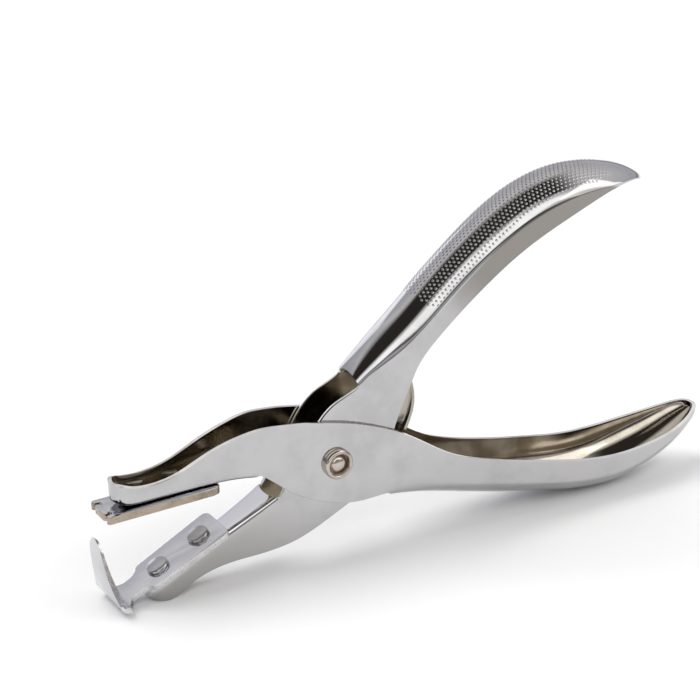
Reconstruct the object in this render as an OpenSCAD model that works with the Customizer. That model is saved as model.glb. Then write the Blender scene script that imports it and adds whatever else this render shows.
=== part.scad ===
// Plier-type staple remover, drawn open on its spring.
// Two pressed steel levers cross on one hollow rivet: the outer lever passes outside, the inner one between
// its cheeks. The outer jaw carries the upper plate, the inner jaw carries the tongue that slides under a staple.
// Everything is drawn about the pivot axis and moved once, by in_place(), into the shared frame.
// +X runs to the handle ends, +Z is up and Y is across the tool. All sizes are in mm.

/* [Overall] */
// Height of the pivot axis above the surface the tool stands on
pivot_height = 26.1; // [25:0.1:28]
// Distance from the pivot axis back to the end of the lower handle
handle_reach = 111.2; // [100:0.1:125]
// Thickness of the pressed sheet of both levers
sheet = 1.0; // [0.8:0.1:1.4]

/* [Outer lever] */
// Outside width across the jaw
outer_jaw_w = 8.0; // [7:0.1:9]
// Outside width across the cheeks at the pivot
outer_cheek_w = 12.5; // [12:0.1:14]
// Widest part of the handle
outer_grip_w = 18.6; // [16:0.1:22]

/* [Inner lever] */
// Outside width across the cheeks, which run between the outer lever's cheeks
inner_cheek_w = 10.3; // [9.5:0.1:10.4]
// Outside width across the jaw
inner_jaw_w = 8.0; // [7:0.1:9]
// Slope of the open lower jaw
jaw_slope = 26.6; // [24:0.1:27]

/* [Plates] */
// Width of the plate under the outer jaw
upper_plate_w = 10.1; // [9:0.1:11]
// Thickness of the plate under the outer jaw
upper_plate_t = 2.2; // [1.5:0.1:2.5]
// Thickness of the tongue plate
tongue_t = 1.5; // [1:0.1:2]
// Width of the tongue plate at its rear end
tongue_plate_w = 12.1; // [10:0.1:13]
// Width across the foot of the tongue, where it folds upwards
tongue_foot_w = 14.0; // [11:0.1:15]

/* [Rivets] */
// Head diameter of the tongue plate rivets
tongue_rivet_d = 5.4; // [4:0.1:6]
// Head diameter of the upper plate rivets
plate_rivet_d = 4.4; // [3:0.1:5]
// Outside diameter of the rolled ring round each end of the pivot
pivot_ring_d = 7.5; // [7:0.1:9]
// Diameter of the pivot pin
pivot_pin_d = 5.2; // [4:0.1:6]

/* [Spring] */
// Width of the spring strip
spring_w = 4.6; // [3:0.1:6]
// Thickness of the spring strip
spring_t = 0.8; // [0.5:0.1:1]

/* [Hidden] */
$fn = 48;

steel = [0.80, 0.81, 0.83];
bright = [0.88, 0.89, 0.90];
dark = [0.55, 0.56, 0.58];

run_gap = 0.05;          // radial clearance of the pin in the inner lever
arc_points = 5;          // facets round each corner of a channel
steps = 3;               // stations between two rows
tongue_front = 60.2;     // pivot axis to the foremost point of the tongue
pivot_x = (tongue_front - handle_reach) / 2;
gk = outer_grip_w / 2;
ok = outer_cheek_w / 2;
oj = outer_jaw_w / 2;
ik = inner_cheek_w / 2;
ij = inner_jaw_w / 2;
plate_v = 1.72;          // height of the lower jaw's web above a line through the pivot

// Point of the lower jaw: u forward along its slope, v square to it.
function jaw(u, v) = [-u * cos(jaw_slope) - v * sin(jaw_slope), -u * sin(jaw_slope) + v * cos(jaw_slope)];

// ---- Channel shells ----
// Each row is one station: rim x, rim z, web x, web z, half width, and how far the corner reaches in and up.
outer_rows = [
    [-56.0, 5.6, -55.9, 1.5, 0.5, 0.3, 0.4],
    [-55.6, 5.8, -55.4, 1.0, 1.75, 1.1, 1.0],
    [-54.6, 5.8, -54.3, 0.5, 3.05, 1.5, 1.4],
    [-53.0, 5.3, -52.8, 0.1, oj - 0.15, 1.6, 1.5],
    [-50.5, 4.7, -50.5, 0.03, oj, 1.6, 1.5],
    [-47.0, 4.6, -47.0, 0.16, oj, 1.6, 1.5],
    [-43.5, 5.0, -43.5, 0.28, oj, 1.6, 1.5],
    [-39.5, 6.1, -39.5, 0.42, oj, 1.6, 1.5],
    [-35.0, 8.3, -35.0, 0.58, oj + 0.05, 1.6, 1.5],
    [-30.0, 10.5, -30.0, 0.75, oj + 0.35, 1.6, 1.5],
    [-25.0, 12.0, -25.5, 0.9, oj + 0.8, 1.7, 1.6],
    [-20.2, 12.9, -21.0, -0.2, oj + 1.55, 1.8, 1.8],
    [-15.0, 12.7, -16.5, -5.5, ok - 0.15, 2, 2],
    [-8.5, 12.0, -10.0, -10.8, ok, 2, 2],
    [-1.0, 10.7, -2.0, -14.0, ok, 2, 2],
    [6.3, 8.7, 6.0, -14.6, ok, 2, 2],
    [12.0, 6.6, 12.0, -13.2, ok, 2, 2],
    [16.0, 4.8, 17.0, -12.9, ok + 0.1, 2.2, 2.2],
    [20.5, 2.3, 21.0, -13.8, ok + 0.45, 3.2, 2.6],
    [25.5, -0.9, 25.5, -15.0, ok + 0.85, 5, 3.2],
    [31.0, -4.5, 31.0, -16.8, ok + 1.2, 6.8, 3.8],
    [37.0, -7.0, 37.0, -18.5, 7.6, 7.2, 4.2],
    [45.0, -9.3, 45.0, -20.5, 7.75, 7.3, 4.4],
    [54.0, -11.6, 54.0, -22.5, gk - 1.0, 7.8, 4.5],
    [62.0, -13.2, 62.0, -24.1, gk - 0.5, 8.2, 4.7],
    [69.0, -14.6, 69.0, -25.4, gk - 0.15, 8.2, 4.8],
    [76.0, -15.5, 75.5, -26.3, gk - 0.05, 7.4, 4.9],
    [82.0, -15.7, 81.5, -26.2, gk, 7.4, 4.9],
    [88.0, -15.4, 87.5, -25.1, gk - 0.2, 8.0, 5.0],
    [94.8, -14.7, 94.5, -23.0, gk - 0.7, 8.0, 5.0],
    [101.0, -13.8, 101.0, -20.4, gk - 1.9, 7.0, 4.8],
    [105.8, -12.6, 106.0, -17.2, gk - 3.5, 5.4, 4.0],
    [109.0, -11.4, 109.4, -14.6, gk - 5.4, 3.5, 3.0],
    [110.7, -11.0, 110.9, -13.1, 2.1, 1.8, 2.0],
    [111.1, -11.1, 111.2, -12.5, 0.6, 0.4, 1.2]];

inner_rows = [
    [each jaw(54.3, -2.4), each jaw(54.2, 1.2), 0.5, 0.3, 0.4],
    [each jaw(53.9, -3.0), each jaw(53.8, 1.5), 1.75, 1.1, 1.0],
    [each jaw(52.9, -3.7), each jaw(52.8, plate_v), 3.05, 1.5, 1.4],
    [each jaw(51.3, -4.2), each jaw(51.3, plate_v), ij - 0.15, 1.6, 1.5],
    [each jaw(48.8, -4.1), each jaw(48.8, plate_v), ij, 1.6, 1.5],
    [each jaw(45.3, -3.7), each jaw(45.3, plate_v), ij, 1.6, 1.5],
    [each jaw(41.5, -3.6), each jaw(41.5, plate_v), ij, 1.6, 1.5],
    [each jaw(36.4, -4.7), each jaw(36.4, plate_v), ij, 1.6, 1.5],
    [each jaw(31.4, -6.7), each jaw(31.4, plate_v), ij + 0.05, 1.6, 1.5],
    [each jaw(26.5, -9.1), each jaw(26.5, plate_v), ij + 0.3, 1.6, 1.5],
    [each jaw(21.5, -11.0), each jaw(21.5, plate_v), ij + 0.6, 1.6, 1.5],
    [each jaw(16.5, -12.1), each jaw(16.5, plate_v), ik - 0.3, 1.6, 1.5],
    [-3.0, -15.4, -15.0, -1.0, ik - 0.05, 1.6, 1.5],
    [5.0, -11.9, -12.8, 6.0, ik, 1.6, 1.5],
    [12.5, -6.5, -8.0, 13.5, ik, 1.6, 1.5],
    [15.6, 2.0, -1.3, 18.2, ik, 1.6, 1.5],
    [18.2, 9.5, 5.6, 19.8, ik + 0.1, 2, 2],
    [20.2, 15.5, 9.6, 23.9, ik + 1.4, 4.4, 2.8],
    [22.2, 22.3, 13.8, 28.0, 7.4, 6.7, 3.6],
    [27.4, 27.4, 20.3, 33.4, 7.6, 7.2, 4.2],
    [33.5, 32.6, 26.4, 39.3, 7.65, 7.2, 4.4],
    [40.0, 37.6, 33.2, 45.2, 7.75, 7.3, 4.5],
    [47.0, 43.0, 41.0, 51.2, gk - 0.9, 8.0, 4.6],
    [54.5, 47.6, 49.5, 56.7, gk - 0.4, 8.4, 4.8],
    [62.4, 51.2, 58.7, 60.3, gk, 8.8, 4.9],
    [69.5, 54.1, 67.5, 61.7, gk - 0.15, 8.6, 4.9],
    [76.0, 56.1, 76.0, 61.1, gk - 0.9, 8.0, 4.4],
    [82.0, 56.7, 82.5, 59.6, gk - 2.4, 6.6, 2.8],
    [86.0, 56.1, 86.8, 57.6, gk - 4.3, 4.7, 1.4],
    [88.5, 55.0, 89.0, 55.9, 2.7, 2.4, 0.8],
    [89.6, 54.3, 89.9, 54.9, 0.6, 0.4, 0.5]];

function bend(a, b, c, d, t) =
    0.5 * (2 * b + (c - a) * t + (2 * a - 5 * b + 4 * c - d) * t * t + (3 * b - a - 3 * c + d) * t * t * t);
function stations(rows) = let (e = len(rows) - 1) concat(
    [for (i = [0 : e - 1], k = [0 : steps - 1])
        bend(rows[max(i - 1, 0)], rows[i], rows[i + 1], rows[min(i + 2, e)], k / steps)], [rows[e]]);

// Nothing reaches below the surface the tool stands on.
function above_floor(p) = [p[0], p[1], max(p[2], -pivot_height)];
function station_points(s) = let (
        depth = norm([s[0] - s[2], s[1] - s[3]]),
        d = [s[0] - s[2], s[1] - s[3]] / depth,
        drop = min(s[6], depth - 0.05),
        flat = max(s[4] - s[5], 0.1),
        half = concat([[-s[4], depth]], [for (k = [0 : arc_points])
            let (f = 90 * k / arc_points) [-flat - (s[4] - flat) * cos(f), drop * (1 - sin(f))]]),
        all = concat(half, [for (k = [len(half) - 1 : -1 : 0]) [-half[k][0], half[k][1]]]))
    [for (q = all) above_floor([s[2] + d[0] * q[1], q[0], s[3] + d[1] * q[1]])];
function unit(v) = v / norm(v);
function middle(s) = [s[0] + s[2], s[1] + s[3]] / 2;
// The inside skin stands one sheet thickness in: narrower by the wall, and drawn back where the plan closes.
function inside(st) = let (e = len(st) - 1) [for (i = [0 : e]) let (
        s = st[i],
        a = st[max(i - 1, 0)],
        b = st[min(i + 1, e)],
        run = norm(middle(b) - middle(a)),
        rise = b[4] - a[4],
        slant = norm([run, rise]),
        back = sheet * rise / slant * unit(middle(b) - middle(a)),
        along = unit([b[2] - a[2], b[3] - a[3]]),
        d = [s[0] - s[2], s[1] - s[3]],
        side = [-along[1], along[0]],
        inward = side * (side * d > 0 ? 1 : -1),
        web = [s[2], s[3]] + back + min(sheet, norm(d) - 0.2) * inward)
    [s[0] + back[0], s[1] + back[1], web[0], web[1], s[4] - sheet * run / slant,
     max(s[5] - sheet, 0.1), max(s[6] - sheet, 0.1)]];

module channel(rows, way) {
    st = stations(rows);
    outside = [for (s = st) station_points(s)];
    inner = [for (s = inside(st)) station_points(s)];
    n = len(outside);
    m = len(outside[0]);
    e = n - 1;
    l = m - 1;
    o = function (i, j) i * m + j;
    q = function (i, j) (n + i) * m + j;
    faces = concat(
        [for (i = [0 : e - 1], j = [0 : l - 1]) each [
            [o(i, j), o(i + 1, j), o(i + 1, j + 1)], [o(i, j), o(i + 1, j + 1), o(i, j + 1)],
            [q(i, j), q(i + 1, j + 1), q(i + 1, j)], [q(i, j), q(i, j + 1), q(i + 1, j + 1)]]],
        [for (i = [0 : e - 1]) each [
            [o(i + 1, 0), o(i, 0), q(i, 0)], [o(i + 1, 0), q(i, 0), q(i + 1, 0)],
            [o(i, l), o(i + 1, l), q(i + 1, l)], [o(i, l), q(i + 1, l), q(i, l)]]],
        [for (j = [1 : l - 1]) each [
            [o(0, 0), o(0, j), o(0, j + 1)], [q(0, 0), q(0, j + 1), q(0, j)],
            [o(e, 0), o(e, j + 1), o(e, j)], [q(e, 0), q(e, j), q(e, j + 1)]]],
        [[o(0, 0), o(0, l), q(0, l)], [o(0, 0), q(0, l), q(0, 0)],
         [o(e, l), o(e, 0), q(e, 0)], [o(e, l), q(e, 0), q(e, l)]]);
    polyhedron(
        points = concat([for (r = outside) each r], [for (r = inner) each r]),
        faces = way < 0 ? faces : [for (f = faces) [f[2], f[1], f[0]]],
        convexity = 8);
}

// ---- Helpers ----
module in_place() {
    translate([pivot_x, 0, pivot_height]) children();
}

// A shape drawn in x and z, given thickness across the tool.
module across(half) {
    rotate([90, 0, 0]) linear_extrude(2 * half, center = true) children();
}

// Lower jaw frame: -X runs forward along the slope, Z stands square to its web.
module on_jaw() {
    rotate([0, -jaw_slope, 0]) children();
}

// Upper jaw frame: its web rises two degrees towards the pivot, and Z = 0 is the underside of that web.
module on_web() {
    translate([-30, 0, 0.7]) rotate([0, -2, 0]) children();
}

module rivet(head_d, head_h, shank_d, length, tail_d, tail_h) {
    rotate_extrude() polygon([
        [0, head_h], [head_d / 2 - 0.4, head_h], [head_d / 2 - 0.1, head_h - 0.15], [head_d / 2, head_h - 0.4],
        [head_d / 2, 0], [shank_d / 2, 0], [shank_d / 2, -length], [tail_d / 2, -length],
        [tail_d / 2 - 0.2, -length - tail_h], [0, -length - tail_h]]);
}

// ---- Outer lever and what is fixed to it ----
module outer_lever() {
    color(steel) difference() {
        channel(outer_rows, -1);
        across(12) polygon([
            [-20.4, 0.0], [-19.1, 0.9], [-16.6, -1.3], [-14.1, -3.5], [-9.5, -6.9], [-6.0, -8.8], [-2.5, -10.1],
            [1.0, -11.3], [4.5, -11.9], [8.0, -11.8], [11.6, -11.5], [14.4, -11.6], [15.2, -12.4],
            [15.2, -20], [-24, -20], [-24, -2]]);
        translate([-17.3, 0, -4]) cylinder(r = 3.8, h = 9);
        translate([14, 0, -16]) cylinder(r = 3.9, h = 6);
        rotate([90, 0, 0]) cylinder(d = pivot_pin_d, h = 30, center = true);
        on_web() for (x = [-8, -17]) translate([x, 0, -1]) cylinder(d = 2.4, h = 4);
    }
}

// Plan of the upper plate: round rear corners, and two slots that leave an ear on each side of the front lip.
module upper_plan() {
    w = upper_plate_w / 2;
    half = concat(arc([-1.8, w - 2], 2, 0, 90, 8), [
        [-28.2, w], [-28.5, w - 0.15], [-28.6, w - 0.5], [-28.6, 3.25], [-27.1, 3.25], [-27.1, 2.65],
        [-28.6, 2.65]]);
    polygon(concat(half, [for (k = [len(half) - 1 : -1 : 0]) [half[k][0], -half[k][1]]]));
}

module upper_plate() {
    color(bright) on_web() difference() {
        translate([0, 0, -upper_plate_t - 0.02]) linear_extrude(upper_plate_t) upper_plan();
        for (x = [-8, -17]) translate([x, 0, -3]) cylinder(d = 2.4, h = 4);
    }
}

// The jaw's web curves a little, so the heads sit just clear of its highest point.
head_gap = 0.12;
module upper_rivet(x) {
    color(dark) on_web() translate([x, 0, sheet + head_gap])
        rivet(plate_rivet_d, 0.8, 2.4, sheet + head_gap + upper_plate_t + 0.02, 2.4, 0.01);
}

module upper_rivet_front() { upper_rivet(-17); }
module upper_rivet_rear() { upper_rivet(-8); }

module pivot_pin() {
    color(bright) rotate([90, 0, 0]) {
        cylinder(d = pivot_pin_d, h = outer_cheek_w, center = true);
        for (s = [0, 180]) rotate([s, 0, 0]) translate([0, 0, ok]) rotate_extrude() polygon([
            [0, 0], [2.55, 0], [2.55, 0.35], [2.2, 0.6], [1.9, 1.0], [1.4, 1.3], [0.8, 1.45], [0, 1.5]]);
    }
}

module pivot_sleeve() {
    color(dark) rotate([90, 0, 0]) difference() {
        cylinder(d = 7.4, h = inner_cheek_w - 2 * sheet - 0.3, center = true);
        cylinder(d = pivot_pin_d, h = 20, center = true);
    }
}

module pivot_ring() {
    r = pivot_ring_d / 2;
    color(bright) rotate([90, 0, 0]) translate([0, 0, ok]) rotate_extrude() polygon([
        [2.6, 0], [r, 0], [r, 0.9], [r - 0.15, 1.3], [r - 0.45, 1.55], [r - 0.8, 1.6], [r - 1.05, 1.4],
        [2.6, 0.8]]);
}

module pivot_ring_near() { pivot_ring(); }
module pivot_ring_far() { mirror([0, 1, 0]) pivot_ring(); }

// The strip follows the inner lever's web, bulges behind the pivot and comes down on the outer lever's floor.
spring_line = [[9.4, 21.3], [12.6, 24.4], [15.4, 26.1], [18.2, 25.4], [20.4, 21.6], [22.2, 16.4], [23.3, 11.6],
               [23.2, 7.8], [21.9, 3.8], [19.8, -0.4], [18.2, -4.4], [17.6, -8.0], [18.6, -10.8], [21.0, -12.2],
               [24.6, -13.2]];
function spring_points() = let (e = len(spring_line) - 1) concat(
    [for (i = [0 : e - 1], k = [0 : 2])
        bend(spring_line[max(i - 1, 0)], spring_line[i], spring_line[i + 1], spring_line[min(i + 2, e)], k / 3)],
    [spring_line[e]]);
function strip(p, t) = let (
        e = len(p) - 1,
        side = [for (i = [0 : e]) let (g = unit(p[min(i + 1, e)] - p[max(i - 1, 0)])) [-g[1], g[0]] * t / 2])
    concat([for (i = [0 : e]) p[i] + side[i]], [for (i = [e : -1 : 0]) p[i] - side[i]]);

module return_spring() {
    color(dark) across(spring_w / 2) polygon(strip(spring_points(), spring_t));
}

// ---- Inner lever and what is fixed to it ----
module inner_lever() {
    color(steel) difference() {
        channel(inner_rows, 1);
        across(12) polygon([
            [-14.6, -5.6], [-13.4, -3.6], [-10.6, 0.6], [-7.4, 6.4], [-5.9, 9.0], [-4.2, 11.4], [-2.4, 13.4],
            [-0.4, 14.8], [1.5, 15.5], [3.4, 16.2], [4.6, 17.3], [5.2, 18.6], [5.2, 24], [-14, 22], [-20, 4],
            [-16.6, -5.0]]);
        on_jaw() translate([-13.2, 0, -1]) cylinder(r = 3.6, h = 6);
        rotate([90, 0, 0]) cylinder(d = pivot_pin_d + 2 * run_gap, h = 30, center = true);
        on_jaw() for (x = [-36.3, -48.2]) translate([x, 0, -1]) cylinder(d = 2.6, h = 4);
    }
}

// Plan of the tongue plate: rounded plate, narrow neck, wide foot.
module tongue_plan() {
    w = tongue_plate_w / 2;
    half = [
        [-30.5, w - 1.8], [-30.65, w - 1.1], [-31.05, w - 0.5], [-31.7, w - 0.1], [-32.5, w],
        [-51.0, 5.4], [-51.6, 5.3], [-52.1, 5.0], [-52.4, 4.5], [-52.9, 3.9], [-53.8, 3.4], [-55.0, 3.1],
        [-56.6, 3.1], [-57.6, 3.5], [-58.5, 4.4], [-59.2, 5.6], [-59.6, tongue_foot_w / 2],
        [-66, tongue_foot_w / 2]];
    polygon(concat(half, [for (k = [len(half) - 1 : -1 : 0]) [half[k][0], -half[k][1]]]));
}

// Side profile of the tongue plate: straight plate, fold of about 97 degrees, curved tongue.
tongue_c = [0.3, -3.8];
tongue_r = 60.7;
fold_r = 3.0;
// The fold's centre lies a fold radius inside the tongue's face and a fold radius above the plate's underside.
fold_a = 180 + jaw_slope
    - asin((plate_v + fold_r + tongue_c[0] * sin(jaw_slope) - tongue_c[1] * cos(jaw_slope)) / (tongue_r - fold_r));
fold_c = tongue_c + (tongue_r - fold_r) * [cos(fold_a), sin(fold_a)];
apex_a = 183;
function arc(c, r, a, b, n) = [for (k = [0 : n]) let (f = a + (b - a) * k / n) c + r * [cos(f), sin(f)]];

module tongue_profile() {
    polygon(concat(
        [jaw(30.5, plate_v + tongue_t), jaw(30.5, plate_v)],
        arc(fold_c, fold_r, 270 + jaw_slope, fold_a, 10),
        arc(tongue_c, tongue_r, fold_a, apex_a, 12),
        arc(tongue_c, tongue_r - tongue_t, apex_a + 0.5, fold_a, 12),
        arc(fold_c, fold_r - tongue_t, fold_a, 270 + jaw_slope, 10)));
}

// The tongue seen from the front: a pointed arch on a wide foot.
module tongue_outline() {
    half = [
        [7.0, -24], [7.0, -23.3], [6.5, -22.0], [5.7, -20.3], [4.8, -18.0], [4.1, -15.5], [3.6, -12.5],
        [3.1, -10.0], [2.2, -8.5], [1.2, -7.5], [0.2, -6.9]];
    polygon(concat(half, [for (k = [len(half) - 1 : -1 : 0]) [-half[k][0], half[k][1]]]));
}

module tongue_plate() {
    color(bright) difference() {
        intersection() {
            across(8) tongue_profile();
            on_jaw() translate([0, 0, -10]) linear_extrude(70) union() {
                tongue_plan();
                mirror([0, 1, 0]) tongue_plan();
            }
        }
        translate([-54.6, 0, 0]) rotate([90, 0, -90]) linear_extrude(12) difference() {
            translate([-9, -23.3]) square([18, 19]);
            tongue_outline();
        }
        on_jaw() for (x = [-36.3, -48.2]) translate([x, 0, -1]) cylinder(d = 2.6, h = 6);
    }
}

module tongue_rivet(x) {
    color(bright) on_jaw() translate([x, 0, plate_v + tongue_t])
        rivet(tongue_rivet_d, 1.0, 2.6, tongue_t + sheet, 4.4, 0.7);
}

module tongue_rivet_front() { tongue_rivet(-48.2); }
module tongue_rivet_rear() { tongue_rivet(-36.3); }

in_place() outer_lever();
in_place() upper_plate();
in_place() upper_rivet_front();
in_place() upper_rivet_rear();
in_place() pivot_pin();
in_place() pivot_sleeve();
in_place() pivot_ring_near();
in_place() pivot_ring_far();
in_place() return_spring();
in_place() inner_lever();
in_place() tongue_plate();
in_place() tongue_rivet_front();
in_place() tongue_rivet_rear();
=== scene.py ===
import math

import bmesh
import bpy
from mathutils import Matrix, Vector


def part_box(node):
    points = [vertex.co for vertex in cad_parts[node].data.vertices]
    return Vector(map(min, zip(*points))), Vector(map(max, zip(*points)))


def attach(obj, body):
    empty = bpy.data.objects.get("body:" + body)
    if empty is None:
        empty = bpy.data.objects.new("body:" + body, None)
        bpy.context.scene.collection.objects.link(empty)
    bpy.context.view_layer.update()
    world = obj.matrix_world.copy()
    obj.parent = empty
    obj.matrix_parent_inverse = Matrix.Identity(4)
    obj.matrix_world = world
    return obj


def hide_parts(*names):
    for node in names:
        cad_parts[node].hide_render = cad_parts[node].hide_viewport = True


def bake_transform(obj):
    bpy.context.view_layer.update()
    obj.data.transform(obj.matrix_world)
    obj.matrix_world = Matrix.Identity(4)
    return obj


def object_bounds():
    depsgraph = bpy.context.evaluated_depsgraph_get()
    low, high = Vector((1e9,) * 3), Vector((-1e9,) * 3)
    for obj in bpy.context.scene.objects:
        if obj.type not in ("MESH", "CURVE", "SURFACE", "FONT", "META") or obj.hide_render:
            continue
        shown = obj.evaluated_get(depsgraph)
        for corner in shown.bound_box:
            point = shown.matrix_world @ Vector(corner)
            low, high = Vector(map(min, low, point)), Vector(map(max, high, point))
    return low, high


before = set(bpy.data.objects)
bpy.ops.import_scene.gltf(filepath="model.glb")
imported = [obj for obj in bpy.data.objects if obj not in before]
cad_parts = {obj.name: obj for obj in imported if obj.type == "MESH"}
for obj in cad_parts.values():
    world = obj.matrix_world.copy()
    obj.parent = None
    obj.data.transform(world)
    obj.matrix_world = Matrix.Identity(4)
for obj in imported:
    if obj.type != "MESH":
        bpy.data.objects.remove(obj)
cadLow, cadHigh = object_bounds()
mm = 0.001
mapUnit = 100.0  # mm of sheet to one unit of its own map
pinLow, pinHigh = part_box("pivot_pin")
pivot = (pinLow + pinHigh) / 2  # every piece is laid out from the pivot axis
print("frame loaded, pivot at", [round(v, 4) for v in pivot])


def place(x, y, z):
    return pivot + Vector((x, y, z)) * mm


def clearSelection():
    if bpy.context.mode != "OBJECT":
        bpy.ops.object.mode_set(mode="OBJECT")
    bpy.ops.object.select_all(action="DESELECT")


def pick(piece):
    clearSelection()
    piece.select_set(True)
    bpy.context.view_layer.objects.active = piece


def editAll(piece):
    pick(piece)
    bpy.ops.object.mode_set(mode="EDIT")
    bpy.ops.mesh.select_all(action="SELECT")


def applyModifiers(piece):
    pick(piece)
    for modifier in list(piece.modifiers):
        bpy.ops.object.modifier_apply(modifier=modifier.name)


def roundEdges(piece, width, segments, angle, smoothAngle):
    rounding = piece.modifiers.new("rounded edges", "BEVEL")
    rounding.width = width * mm
    rounding.segments = segments
    rounding.limit_method = "ANGLE"
    rounding.angle_limit = math.radians(angle)
    applyModifiers(piece)
    bpy.ops.object.shade_smooth_by_angle(angle=math.radians(smoothAngle))


cameraView = {
    "azimuth": -30.0,
    "elevation": 22.7,
    "lens": 118.8,
    "sensor": 36.0,
    "seat": (-244.4, -435.7, 235.7),  # from the pivot, mm
    "clip": (0.01, 20.0),
}


def makeCamera(view):
    clearSelection()
    bpy.ops.object.camera_add(location=place(*view["seat"]))
    camera = bpy.context.object
    camera.name = "viewCamera"
    a, e = math.radians(view["azimuth"]), math.radians(view["elevation"])
    back = Vector((math.sin(a) * math.cos(e), -math.cos(a) * math.cos(e), math.sin(e)))
    camera.rotation_mode = "QUATERNION"
    camera.rotation_quaternion = (-back).to_track_quat("-Z", "Y")
    camera.data.lens = view["lens"]
    camera.data.sensor_width = view["sensor"]
    camera.data.clip_start, camera.data.clip_end = view["clip"]
    bpy.context.scene.camera = camera


makeCamera(cameraView)
print("camera made")


def newGroup(name, inputs, outputs):
    group = bpy.data.node_groups.new(name, "ShaderNodeTree")
    for label, kind, value in inputs:
        socket = group.interface.new_socket(label, in_out="INPUT", socket_type=kind)
        if value is not None:
            socket.default_value = value
    for label, kind in outputs:
        group.interface.new_socket(label, in_out="OUTPUT", socket_type=kind)
    return group, group.nodes.new("NodeGroupInput"), group.nodes.new("NodeGroupOutput")


def placeGroup(tree, group, vector):
    node = tree.nodes.new("ShaderNodeGroup")
    node.node_tree = group
    tree.links.new(vector, node.inputs["Vector"])
    return node


def mathNode(tree, operation, *values):
    # each value is a number or another node's output
    node = tree.nodes.new("ShaderNodeMath")
    node.operation = operation
    for slot, value in enumerate(values):
        if isinstance(value, (int, float)):
            node.inputs[slot].default_value = value
        else:
            tree.links.new(value, node.inputs[slot])
    return node.outputs[0]


def softStep(tree, value, low, high):
    # 0 at low, 1 at high; low may be the larger of the two
    node = tree.nodes.new("ShaderNodeMapRange")
    node.interpolation_type = "SMOOTHSTEP"
    tree.links.new(value, node.inputs["Value"])
    node.inputs["From Min"].default_value = low
    node.inputs["From Max"].default_value = high
    return node.outputs["Result"]


def noiseNode(tree, vector, pattern):
    node = tree.nodes.new("ShaderNodeTexNoise")
    node.inputs["Scale"].default_value = pattern["scale"]
    node.inputs["Detail"].default_value = pattern["detail"]
    node.inputs["Roughness"].default_value = pattern["roughness"]
    tree.links.new(vector, node.inputs["Vector"])
    return node.outputs["Fac"]


def separate(tree, vector):
    node = tree.nodes.new("ShaderNodeSeparateXYZ")
    tree.links.new(vector, node.inputs[0])
    return node.outputs["X"], node.outputs["Y"], node.outputs["Z"]


def mixColours(tree, factor, first, second):
    mix = tree.nodes.new("ShaderNodeMix")
    mix.data_type = "RGBA"
    tree.links.new(factor, mix.inputs[0])
    for slot, value in ((6, first), (7, second)):  # the colour inputs A and B
        if isinstance(value, tuple):
            mix.inputs[slot].default_value = (*value, 1.0)
        else:
            tree.links.new(value, mix.inputs[slot])
    return mix.outputs[2]


def bumpNode(tree, height, distance, normal=None):
    bump = tree.nodes.new("ShaderNodeBump")
    bump.inputs["Strength"].default_value = 1.0
    bump.inputs["Distance"].default_value = distance * mm
    tree.links.new(height, bump.inputs["Height"])
    if normal:
        tree.links.new(normal, bump.inputs["Normal"])
    return bump.outputs["Normal"]


plating = {
    "smudge": {"scale": 90.0, "detail": 4.0, "roughness": 0.6, "limits": (0.42, 0.72)},
    "hairline": {"scale": 5200.0, "detail": 2.0, "roughness": 0.5, "limits": (0.60, 0.74),
                 "turn": 12.0, "stretch": 0.035, "dulling": 0.12, "depth": -0.12},
    "ripple": {"scale": 170.0, "detail": 2.0, "roughness": 0.4},
    "tear": {"scale": 3600.0, "detail": 2.0, "roughness": 0.6, "limits": (0.56, 0.70), "darken": 0.4},
}


def makePolishGroup():
    # smudges, hairline scratches and a slow ripple, as on buffed plating
    group, start, end = newGroup(
        "polishedPlate",
        [("Vector", "NodeSocketVector", None), ("Smooth", "NodeSocketFloat", 0.06),
         ("Dull", "NodeSocketFloat", 0.2), ("Scratches", "NodeSocketFloat", 0.3)],
        [("Roughness", "NodeSocketFloat"), ("Height", "NodeSocketFloat"), ("Smudge", "NodeSocketFloat")])
    vector = start.outputs["Vector"]
    smudge = softStep(group, noiseNode(group, vector, plating["smudge"]), *plating["smudge"]["limits"])
    hairline = plating["hairline"]
    stretch = group.nodes.new("ShaderNodeMapping")
    stretch.inputs["Rotation"].default_value = (0.0, math.radians(hairline["turn"]), 0.0)
    stretch.inputs["Scale"].default_value = (hairline["stretch"], 1.0, 1.0)
    group.links.new(vector, stretch.inputs["Vector"])
    lines = softStep(group, noiseNode(group, stretch.outputs[0], hairline), *hairline["limits"])
    lines = mathNode(group, "MULTIPLY", lines, start.outputs["Scratches"])
    spread = mathNode(group, "SUBTRACT", start.outputs["Dull"], start.outputs["Smooth"])
    rough = mathNode(group, "MULTIPLY_ADD", smudge, spread, start.outputs["Smooth"])
    rough = mathNode(group, "MULTIPLY_ADD", lines, hairline["dulling"], rough)
    ripple = noiseNode(group, vector, plating["ripple"])
    height = mathNode(group, "MULTIPLY_ADD", lines, hairline["depth"], ripple)
    group.links.new(rough, end.inputs["Roughness"])
    group.links.new(height, end.inputs["Height"])
    group.links.new(smudge, end.inputs["Smudge"])
    return group


def makeTearGroup():
    # torn, dark-specked metal, as on a sheared edge
    group, start, end = newGroup(
        "tornMetal", [("Vector", "NodeSocketVector", None)],
        [("Speck", "NodeSocketFloat"), ("Height", "NodeSocketFloat")])
    grain = noiseNode(group, start.outputs["Vector"], plating["tear"])
    group.links.new(softStep(group, grain, *plating["tear"]["limits"]), end.inputs["Speck"])
    group.links.new(grain, end.inputs["Height"])
    return group


polishGroup = makePolishGroup()
tearGroup = makeTearGroup()

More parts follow.
